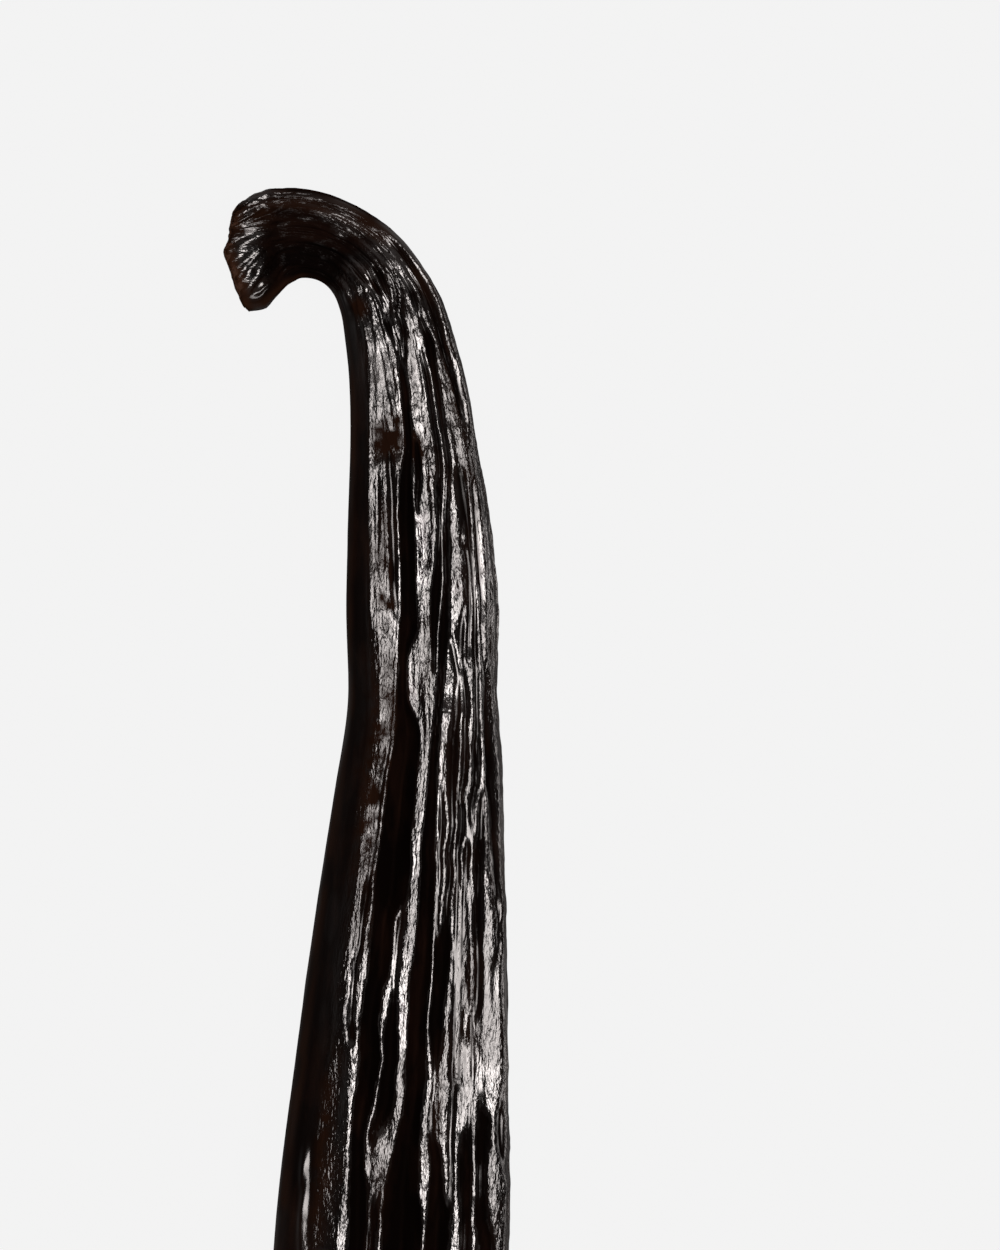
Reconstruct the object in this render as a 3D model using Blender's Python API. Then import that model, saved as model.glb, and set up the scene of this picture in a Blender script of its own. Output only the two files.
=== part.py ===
"""A cured vanilla pod: one solid piece, from its hooked stem end to its blossom end.

The pod lies on a level surface. Metres, +Z up, +Y towards the hooked stem end, and +X towards the
outer side of the hook. The origin is under the middle of the pod's box, on the surface.

Distances along the pod run from the rim of the stem end's scar to the tip, in millimetres. Angles
round a section are in degrees: 0 is the top, 90 the outer side of the hook, 180 the underside.
"""

import math

import bmesh
import bpy
import numpy as np

MM = 0.001

# --- Driving dimensions -------------------------------------------------------------------------

POD_LENGTH = 178.0  # along the spine, rim to tip
FLAT_SINK = 0.20  # the depth by which the underside is pressed flat

# The spine in plan: stretches of even bending, each (length, turn in degrees, clockwise positive).
SPINE_HEADING = 2.0
SPINE_BENDS = (
    (2.1, 3.0),  # the stalk's stub
    (4.1, 59.0),  # the hook
    (2.0, 15.5),  # the hook easing out
    (3.0, 8.0),
    (8.0, 5.0),  # the neck
    (5.0, 2.0),
    (4.0, 3.5),  # the shoulder
    (18.0, -1.0),  # the body, down to its widest
    (50.0, -5.0),
    (48.0, -7.0),
    (33.8, -10.0),  # the tapering end
)

# Half widths in plan: (distance, towards the inside of the hook, towards its outside).
HALF_WIDTHS = (
    (0.0, 3.18, 1.38),
    (0.7, 3.10, 1.72),
    (1.3, 2.55, 1.84),
    (1.9, 2.02, 1.84),
    (2.6, 1.80, 1.80),
    (4.2, 1.70, 1.72),
    (6.0, 1.84, 1.86),
    (8.0, 2.12, 2.12),
    (12.0, 2.48, 2.48),
    (17.0, 2.98, 2.98),
    (20.5, 3.14, 3.14),
    (23.5, 3.08, 3.08),
    (27.5, 3.46, 3.44),
    (33.0, 3.95, 3.94),
    (38.0, 4.33, 4.32),
    (46.0, 4.84, 4.80),
    (58.0, 5.02, 4.92),
    (74.0, 4.86, 5.08),
    (88.0, 5.06, 5.00),
    (104.0, 4.94, 4.80),
    (120.0, 4.78, 4.92),
    (136.0, 4.58, 4.46),
    (150.0, 4.00, 4.05),
    (163.0, 3.00, 3.10),
    (171.0, 2.10, 2.20),
    (175.5, 1.50, 1.55),
    (178.0, 1.05, 1.10),
)

# Half thickness, and how far the underside stands off the surface: (distance, half, lift).
THICKNESSES = (
    (0.0, 2.00, 0.30),
    (1.2, 1.70, 0.55),
    (2.5, 1.45, 1.02),
    (4.0, 1.50, 1.16),
    (6.0, 1.72, 1.02),
    (8.0, 1.98, 0.76),
    (12.0, 2.25, 0.48),
    (20.0, 2.60, 0.15),
    (30.0, 2.95, 0.0),
    (44.0, 3.30, 0.0),
    (58.0, 3.45, 0.0),
    (72.0, 3.32, 0.0),
    (90.0, 3.45, 0.0),
    (125.0, 3.25, 0.0),
    (150.0, 2.85, 0.0),
    (163.0, 2.20, 0.15),
    (171.0, 1.65, 0.40),
    (178.0, 0.95, 0.80),
)

# Sections are superellipses: a power of 2 is an ellipse, and a high one is a box.
STALK_POWER = 2.3
INNER_POWER = 3.6  # the upper half inside the hook
UNDER_POWER = 2.6  # the lower half
OUTER_POWERS = (  # the upper half outside the hook: (distance, power)
    (0.0, 3.0),
    (10.0, 3.6),
    (29.0, 4.2),
    (33.0, 11.0),
    (44.0, 13.0),
    (60.0, 5.0),
    (178.0, 3.0),
)
BODY_START = 2.0  # where the stalk starts turning into the body
BODY_BLEND = 8.0  # the distance it takes

# The slope inside the hook: (distance, the side where it starts), with -1 the flank and 0 the top.
SHOULDERS = (
    (0.0, -0.62),
    (30.0, -0.61),
    (34.0, -0.60),
    (37.0, -0.585),
    (38.3, -0.49),
    (41.2, -0.42),
    (46.0, -0.44),
    (60.0, -0.55),
    (178.0, -0.60),
)
SHOULDER_SLOPE = 0.55

# The hook's top leans to its inside: (distance, share of the height lost at the inner flank).
LEANS = ((0.9, 0.0), (1.8, 0.55), (4.2, 0.55), (5.8, 0.0))
LEAN_FROM = 0.5  # the side where the lean starts
LEAN_SPAN = 1.5

# The scar's rim in plan: (across, how far it stands out of the first section).
SCAR_RIM = (
    (-3.25, -0.05),
    (-2.98, 0.14),
    (-2.66, 0.24),
    (-1.75, 0.49),
    (-1.14, 0.71),
    (-0.71, 0.78),
    (-0.17, 0.58),
    (0.30, 0.50),
    (0.81, 0.40),
    (1.20, 0.20),
    (1.46, 0.02),
)
RIM_REACH = 3.2  # the distance over which the rim's shape fades out

# Furrows between the ribs, in order round the pod. Each has its half width in degrees, its depth in
# millimetres where the pod is widest, and its angle at a few distances.
FURROWS = (
    (6.5, 0.34, ((0, -156), (60, -158), (178, -156))),
    (7.0, 0.50, ((0, -128), (50, -124), (110, -130), (178, -126))),
    (6.5, 0.40, ((0, -100), (40, -97), (90, -101), (178, -99))),
    (6.0, 0.36, ((0, -74), (22, -70), (34, -58), (48, -62), (120, -70), (178, -72))),
    (4.5, 0.24, ((0, -46), (15, -40), (24, -36), (37, -35), (48, -38), (110, -40), (178, -44))),
    (6.5, 0.85, ((0, -10), (9, -3), (19, -8), (26, -12), (34, -17), (42, -20), (47, -17), (178, -12))),
    (5.5, 0.80, ((0, 16), (9, 17), (16, 22), (21, 18), (26, 12), (38, 9), (46, 4), (178, 14))),
    (4.5, 0.46, ((0, 40), (10, 34), (20, 37), (29, 33), (38, 20), (46, 21), (110, 32), (178, 38))),
    (4.5, 0.42, ((0, 62), (12, 52), (24, 54), (36, 45), (46, 47), (110, 56), (178, 62))),
    (5.5, 0.46, ((0, 84), (18, 74), (40, 68), (110, 82), (178, 86))),
    (6.5, 0.45, ((0, 108), (45, 103), (110, 109), (178, 110))),
    (6.5, 0.38, ((0, 134), (70, 130), (178, 134))),
)
FURROW_FADE = 5.0  # distance from either end over which a furrow reaches its depth
FURROW_SHARE_AT_NECK = 0.45  # depth on the thin neck, as a share of the depth on the body

# Shallow dents across the ribs: (distance, angle, half length, half angle, depth).
DENTS = (
    (13.6, -12.0, 1.5, 34.0, 0.24),
    (24.2, 26.0, 1.6, 22.0, 0.20),
    (29.6, -30.0, 3.0, 26.0, 0.22),
    (67.0, 18.0, 5.0, 40.0, 0.30),
    (96.0, -40.0, 6.0, 36.0, 0.32),
    (128.0, 24.0, 6.0, 40.0, 0.30),
)

# Spacing of the sections: (distance, spacing).
SECTION_SPACINGS = (
    (0.0, 0.45),
    (2.5, 0.55),
    (8.0, 0.80),
    (14.0, 1.20),
    (45.0, 1.90),
    (70.0, 3.20),
    (135.0, 3.20),
    (165.0, 1.80),
    (178.0, 1.00),
)
SCAR_RINGS = ((0.04, 0.90), (0.10, 0.60), (0.12, 0.28))  # (how far it sinks in, share of the size)
TIP_RINGS = ((0.35, 0.86), (0.62, 0.58), (0.75, 0.25))  # (distance past the tip, share of the size)

WELD_DISTANCE = 1e-7  # metres, at the seam of the skin

# --- Curves through the tables ------------------------------------------------------------------


def smooth_value(table, column, distance):
    """The value of a table's column at a distance, on a smooth curve that never overshoots."""
    x = np.array([row[0] for row in table], float)
    y = np.array([row[column] for row in table], float)
    chord = np.diff(y) / np.diff(x)
    slope = np.zeros(len(x))
    for i in range(1, len(x) - 1):
        if chord[i - 1] * chord[i] > 0:
            slope[i] = 2 * chord[i - 1] * chord[i] / (chord[i - 1] + chord[i])
    d = min(max(distance, x[0]), x[-1])
    i = min(int(np.searchsorted(x, d, side="right")) - 1, len(x) - 2)
    step = x[i + 1] - x[i]
    t = (d - x[i]) / step
    return (
        y[i] * (1 + 2 * t) * (1 - t) ** 2
        + slope[i] * step * t * (1 - t) ** 2
        + y[i + 1] * t * t * (3 - 2 * t)
        + slope[i + 1] * step * t * t * (t - 1)
    )


def ease(t):
    """0 to 1 with level ends."""
    t = min(max(t, 0.0), 1.0)
    return t * t * (3 - 2 * t)


# --- The spine ----------------------------------------------------------------------------------


def heading_at(distance):
    """The spine's direction in plan, in radians from +X, at a distance along it."""
    turned, start = 0.0, 0.0
    for length, turn in SPINE_BENDS:
        turned += turn * min(max((distance - start) / length, 0.0), 1.0)
        start += length
    return math.radians(SPINE_HEADING - turned)


def spine_points(distances, step=0.05):
    """The spine's (x, y) at rising distances, from small straight steps."""
    points, x, y, at = [], 0.0, 0.0, 0.0
    for distance in distances:
        while at < distance:
            move = min(step, distance - at)
            heading = heading_at(at + move / 2)
            x += move * math.cos(heading)
            y += move * math.sin(heading)
            at += move
        points.append((x, y))
    return points


def section_distances():
    """Where the sections stand along the pod."""
    distances = [0.0]
    while distances[-1] < POD_LENGTH:
        distances.append(distances[-1] + smooth_value(SECTION_SPACINGS, 1, distances[-1]))
    scale = POD_LENGTH / distances[-1]
    return [d * scale for d in distances]


# --- One section --------------------------------------------------------------------------------


def section_point(distance, angle):
    """A smooth section's (across, up) from the spine at an angle round it, in degrees."""
    side, upright = math.sin(math.radians(angle)), math.cos(math.radians(angle))
    body = ease((distance - BODY_START) / BODY_BLEND)
    if upright < 0:
        power = UNDER_POWER
    elif side > 0:
        power = smooth_value(OUTER_POWERS, 1, distance)
    else:
        power = INNER_POWER
    power = STALK_POWER + body * (power - STALK_POWER)
    width = smooth_value(HALF_WIDTHS, 2 if side > 0 else 1, distance)
    up = smooth_value(THICKNESSES, 1, distance) * (1 - abs(side) ** power) ** (1 / power)
    if upright < 0:
        return side * width, -up
    shoulder = smooth_value(SHOULDERS, 1, distance)
    past = min(max((shoulder - side) / (1 + shoulder), 0.0), 1.0)
    fall = SHOULDER_SLOPE * width * (1 + shoulder) * past * (1 - past) * body
    inward = min(max(LEAN_FROM - side, 0.0), LEAN_SPAN) / LEAN_SPAN
    return side * width, up * (1 - smooth_value(LEANS, 1, distance) * inward) - fall


def furrow_share(distance):
    """How much of its depth a furrow has: none at the ends, and less on the thin neck."""
    fade = ease(distance / FURROW_FADE) * ease((POD_LENGTH - distance) / FURROW_FADE)
    girth = smooth_value(HALF_WIDTHS, 2, distance) / max(row[2] for row in HALF_WIDTHS)
    return fade * (FURROW_SHARE_AT_NECK + (1 - FURROW_SHARE_AT_NECK) * girth)


def dent_depth(distance, angle):
    """How deep the dents are at a place on the skin."""
    depth = 0.0
    for at, middle, half_length, half_angle, deepest in DENTS:
        turned = abs((angle - middle + 180) % 360 - 180)
        depth += deepest * ease(1 - abs(distance - at) / half_length) * ease(1 - turned / half_angle)
    return depth


def section_outline(distance):
    """The section's points as (across, up) from the spine: four to each rib."""
    share = furrow_share(distance)
    centres = [smooth_value(angles, 1, distance) for _, _, angles in FURROWS]
    columns = []
    for i, (half_furrow, depth, _) in enumerate(FURROWS):
        following = (i + 1) % len(FURROWS)
        after = centres[following] + (0.0 if following else 360.0)
        crown = (centres[i] + half_furrow + after - FURROWS[following][0]) / 2
        columns += [
            (centres[i] - half_furrow, 0.0),
            (centres[i], depth * share),
            (centres[i] + half_furrow, 0.0),
            (crown, 0.0),
        ]
    outline = []
    for angle, depth in columns:
        across, up = section_point(distance, angle)
        depth += dent_depth(distance, angle)
        reach = 1 - depth / math.hypot(across, up)
        outline.append((across * reach, up * reach))
    return outline


def section_height(distance):
    """The spine's height over the surface."""
    half = smooth_value(THICKNESSES, 1, distance)
    return half - FLAT_SINK + smooth_value(THICKNESSES, 2, distance)


# --- The solid ----------------------------------------------------------------------------------


def placed_ring(outline, centre, heading, height, ahead=None):
    """A section's points in space, in millimetres, pressed flat where they meet the surface.

    ahead holds how far each point is past the section along the spine.
    """
    across_x, across_y = -math.sin(heading), math.cos(heading)
    along_x, along_y = math.cos(heading), math.sin(heading)
    ahead = ahead or [0.0] * len(outline)
    return [
        (
            centre[0] + across * across_x + beyond * along_x,
            centre[1] + across * across_y + beyond * along_y,
            max(height + up, 0.0),
        )
        for (across, up), beyond in zip(outline, ahead)
    ]


def rim_shift(across):
    """How far back along the spine the scar's rim is at a place across it."""
    return -smooth_value(SCAR_RIM, 1, across)


def scar_rings(centre, heading, height):
    """Rings that close the stem end inside its rim."""
    outline = section_outline(0.0)
    rings = []
    for sunk, share in SCAR_RINGS:
        smaller = [(across * share, up * share) for across, up in outline]
        ahead = [rim_shift(across) + sunk for across, _ in smaller]
        rings.append(placed_ring(smaller, centre, heading, height, ahead))
    return rings


def tip_rings(centre, heading, height):
    """Rings that close the tip."""
    outline = section_outline(POD_LENGTH)
    rings = []
    for beyond, share in TIP_RINGS:
        smaller = [(across * share, up * share) for across, up in outline]
        rings.append(placed_ring(smaller, centre, heading, height, [beyond] * len(smaller)))
    return rings


def pod_rings():
    """Every ring of the pod, from the scar to the tip, each with the same count of points."""
    distances = section_distances()
    centres = spine_points(distances)
    rings = []
    for distance, centre in zip(distances, centres):
        outline = section_outline(distance)
        share = 1 - ease(distance / RIM_REACH)
        ahead = [rim_shift(across) * share for across, _ in outline]
        height = section_height(distance)
        rings.append(placed_ring(outline, centre, heading_at(distance), height, ahead))
    first, last = distances[0], distances[-1]
    start = scar_rings(centres[0], heading_at(first), section_height(first))
    end = tip_rings(centres[-1], heading_at(last), section_height(last))
    return start[::-1] + rings + end


def centred(rings):
    """The rings in metres, moved so that the middle of their box in plan is the origin."""
    points = np.array(rings)
    middle = (points.min(axis=(0, 1)) + points.max(axis=(0, 1))) / 2
    return (points - [middle[0], middle[1], 0.0]) * MM


def skin_of(rings):
    """A closed mesh: a grid rolled into a tube through the rings, with a fan at each end."""
    mesh = bmesh.new()
    columns = len(rings[0])
    bmesh.ops.create_grid(mesh, x_segments=columns, y_segments=len(rings) - 1)
    mesh.verts.ensure_lookup_table()
    for i, vert in enumerate(mesh.verts):
        row, column = divmod(i, columns + 1)
        vert.co = rings[row][column % columns]
    bmesh.ops.remove_doubles(mesh, verts=mesh.verts, dist=WELD_DISTANCE)
    ends = bmesh.ops.holes_fill(mesh, edges=mesh.edges)["faces"]
    bmesh.ops.poke(mesh, faces=ends)
    bmesh.ops.recalc_face_normals(mesh, faces=mesh.faces)
    return mesh


def pod_material():
    """Oily, almost black brown skin."""
    material = bpy.data.materials.new("cured_pod_skin")
    material.use_nodes = True
    shader = material.node_tree.nodes["Principled BSDF"]
    shader.inputs["Base Color"].default_value = (0.018, 0.009, 0.006, 1.0)
    shader.inputs["Roughness"].default_value = 0.32
    shader.inputs["Metallic"].default_value = 0.0
    return material


def clear_scene():
    """Removes every object of the startup scene."""
    for obj in list(bpy.data.objects):
        bpy.data.objects.remove(obj, do_unlink=True)


def build_pod():
    """The pod as one object."""
    skin = skin_of(centred(pod_rings()))
    data = bpy.data.meshes.new("pod")
    skin.to_mesh(data)
    skin.free()
    data.materials.append(pod_material())
    pod = bpy.data.objects.new("pod", data)
    bpy.context.scene.collection.objects.link(pod)
    data.shade_smooth()
    data.set_sharp_from_angle(angle=math.radians(50))
    return pod


clear_scene()
build_pod()
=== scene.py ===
"""A cured vanilla pod lying on a pale floor: its wrinkled, oily skin and the dry scar at its stem end.

The pod's measures are in millimetres. A distance along the pod runs from the rim of its stem end. A side
says where a place is across the pod: -1 is the flank inside the hook, 0 the top and 1 the outer flank,
and beyond the flanks it runs on underneath, to -2 and 2 at the middle of the underside.
"""

from __future__ import annotations

import logging
import math
from dataclasses import dataclass
from enum import Enum

import bpy
import numpy as np
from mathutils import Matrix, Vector


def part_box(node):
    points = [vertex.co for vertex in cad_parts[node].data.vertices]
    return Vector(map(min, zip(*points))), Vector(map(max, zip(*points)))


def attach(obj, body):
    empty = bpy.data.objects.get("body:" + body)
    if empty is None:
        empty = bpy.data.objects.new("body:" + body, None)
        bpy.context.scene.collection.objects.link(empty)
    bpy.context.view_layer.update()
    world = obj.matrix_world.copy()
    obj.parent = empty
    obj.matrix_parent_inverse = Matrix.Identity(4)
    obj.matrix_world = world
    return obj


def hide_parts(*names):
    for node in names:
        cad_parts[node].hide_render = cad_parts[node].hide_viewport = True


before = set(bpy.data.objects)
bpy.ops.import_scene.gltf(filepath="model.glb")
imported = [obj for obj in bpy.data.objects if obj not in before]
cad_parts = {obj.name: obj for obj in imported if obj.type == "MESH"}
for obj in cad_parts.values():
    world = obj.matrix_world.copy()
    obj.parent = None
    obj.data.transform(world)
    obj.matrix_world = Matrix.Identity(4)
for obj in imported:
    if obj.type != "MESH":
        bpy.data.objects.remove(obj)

MM = 0.001
WELD = 2e-6
LIP_WIDTH = 0.08
NODE = "pod"
BODY = "root"
log = logging.getLogger("vanilla_pod")

Colour = tuple[float, float, float, float]
Pairs = tuple[tuple[float, float], ...]
Given = bpy.types.NodeSocket | Colour | float


# --- Curves and relief ---------------------------------------------------------------------------


@dataclass(frozen=True)
class Curve:
    """A smooth curve through a few (distance, value) pairs, which never overshoots them."""

    pairs: Pairs

    def at(self, distance: np.ndarray) -> np.ndarray:
        """Reads the curve.

        Args:
            distance: Distances along the pod.

        Returns:
            The curve's value at each distance, level beyond its ends.
        """
        x, y = np.array(self.pairs, float).T
        chord = np.diff(y) / np.diff(x)
        product = chord[:-1] * chord[1:]
        total = np.where(chord[:-1] + chord[1:] == 0, 1.0, chord[:-1] + chord[1:])
        slope = np.zeros(len(x))
        slope[1:-1] = np.where(product > 0, 2 * product / total, 0.0)
        d = np.clip(distance, x[0], x[-1])
        i = np.clip(np.searchsorted(x, d, side="right") - 1, 0, len(x) - 2)
        step = x[i + 1] - x[i]
        t = (d - x[i]) / step
        start = y[i] * (1 + 2 * t) * (1 - t) ** 2 + slope[i] * step * t * (1 - t) ** 2
        return start + y[i + 1] * t * t * (3 - 2 * t) + slope[i + 1] * step * t * t * (t - 1)


def ease(t: np.ndarray) -> np.ndarray:
    """Takes 0..1 to 0..1 with level ends, and holds what lies outside."""
    t = np.clip(t, 0.0, 1.0)
    return t * t * (3 - 2 * t)


@dataclass(frozen=True)
class Sheet:
    """The skin before it is bent: the distance, side and turn of each of its points.

    Attributes:
        distance: Distances along the pod, one column.
        turn: Angles round the section in radians, one row: 0 is the top.
        side: The side of every point.
        reach: The half width at each distance, one column.
    """

    distance: np.ndarray
    turn: np.ndarray
    side: np.ndarray
    reach: np.ndarray

    def noise(self, cell: float, cells_round: int, seed: int, drift: float = 0.0) -> np.ndarray:
        """Smooth random relief that closes round the pod.

        Args:
            cell: Length of a bump along the pod.
            cells_round: Count of bumps round the pod.
            seed: Seed of the draw.
            drift: How many bumps the pattern wanders round the pod.

        Returns:
            Values from -1 to 1 for every point.
        """
        rng = np.random.default_rng(seed)
        rows = int(self.distance.max() / cell) + 4
        lattice = rng.uniform(-1.0, 1.0, (rows, cells_round))
        y = np.broadcast_to((self.distance - self.distance.min()) / cell, self.side.shape)
        x = np.broadcast_to(self.turn / math.tau * cells_round, self.side.shape)
        if drift:
            x = x + drift * self.noise(cell * 3.7, max(cells_round // 5, 3), seed + 1)
        row, column = np.floor(y).astype(int), np.floor(x).astype(int)
        v, w = ease(y - row), ease(x - column)
        left, right = column % cells_round, (column + 1) % cells_round
        near = lattice[row, left] * (1 - w) + lattice[row, right] * w
        far = lattice[row + 1, left] * (1 - w) + lattice[row + 1, right] * w
        return near * (1 - v) + far * v


@dataclass(frozen=True)
class Furrow:
    """A fold pressed into the skin, with straight walls that meet in a crease.

    Attributes:
        route: (distance, left side, right side) at a few places, where the fold's lips are.
        steep: Slope of the walls, as depth over half the width.
        fade: Distance over which it shallows out at either end.
        lip: How far the walls reach past the route on either side.
    """

    route: tuple[tuple[float, float, float], ...]
    steep: float = 1.35
    fade: float = 0.6
    lip: float = 0.07

    def measure(self, sheet: Sheet) -> tuple[np.ndarray, np.ndarray]:
        """Measures the fold.

        Args:
            sheet: The skin it is pressed into.

        Returns:
            Its depth at every point, and from 0 to 1 how far the point is on its lips.
        """
        left = Curve(tuple((d, a) for d, a, _ in self.route)).at(sheet.distance)
        right = Curve(tuple((d, b) for d, _, b in self.route)).at(sheet.distance)
        first, last = self.route[0][0], self.route[-1][0]
        share = ease((sheet.distance - first) / self.fade + 1)
        share = share * ease((last - sheet.distance) / self.fade + 1)
        half = (np.maximum(right - left, 1e-4) / 2 * sheet.reach + self.lip) * np.sqrt(share)
        outside = np.abs(sheet.side - (left + right) / 2) * sheet.reach - half
        wall = np.clip(-outside / np.maximum(half, 1e-4), 0.0, 1.0) ** 0.85
        lips = ease(1 - np.abs(outside - LIP_WIDTH / 2) / LIP_WIDTH) * ease(share * 2)
        return self.steep * half * wall * share, lips


@dataclass(frozen=True)
class Dent:
    """A shallow hollow in the skin.

    Attributes:
        distance: Where it is along the pod.
        side: Where it is across the pod.
        half_length: Half its length along the pod.
        half_width: Half its width across the pod.
        depth: Its depth, or below 0 the height of a swelling.
    """

    distance: float
    side: float
    half_length: float
    half_width: float
    depth: float

    def relief(self, sheet: Sheet) -> np.ndarray:
        """Measures the hollow.

        Args:
            sheet: The skin it is in.

        Returns:
            Its depth at every point.
        """
        along = ease(1 - np.abs(sheet.distance - self.distance) / self.half_length)
        across = ease(1 - np.abs(sheet.side - self.side) * sheet.reach / self.half_width)
        return self.depth * along * across


def dents(*rows: tuple[float, float, float, float, float]) -> tuple[Dent, ...]:
    """Makes dents from rows of distance, side, half length, half width and depth."""
    return tuple(Dent(*row) for row in rows)


# --- The pod's own measures ----------------------------------------------------------------------

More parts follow.
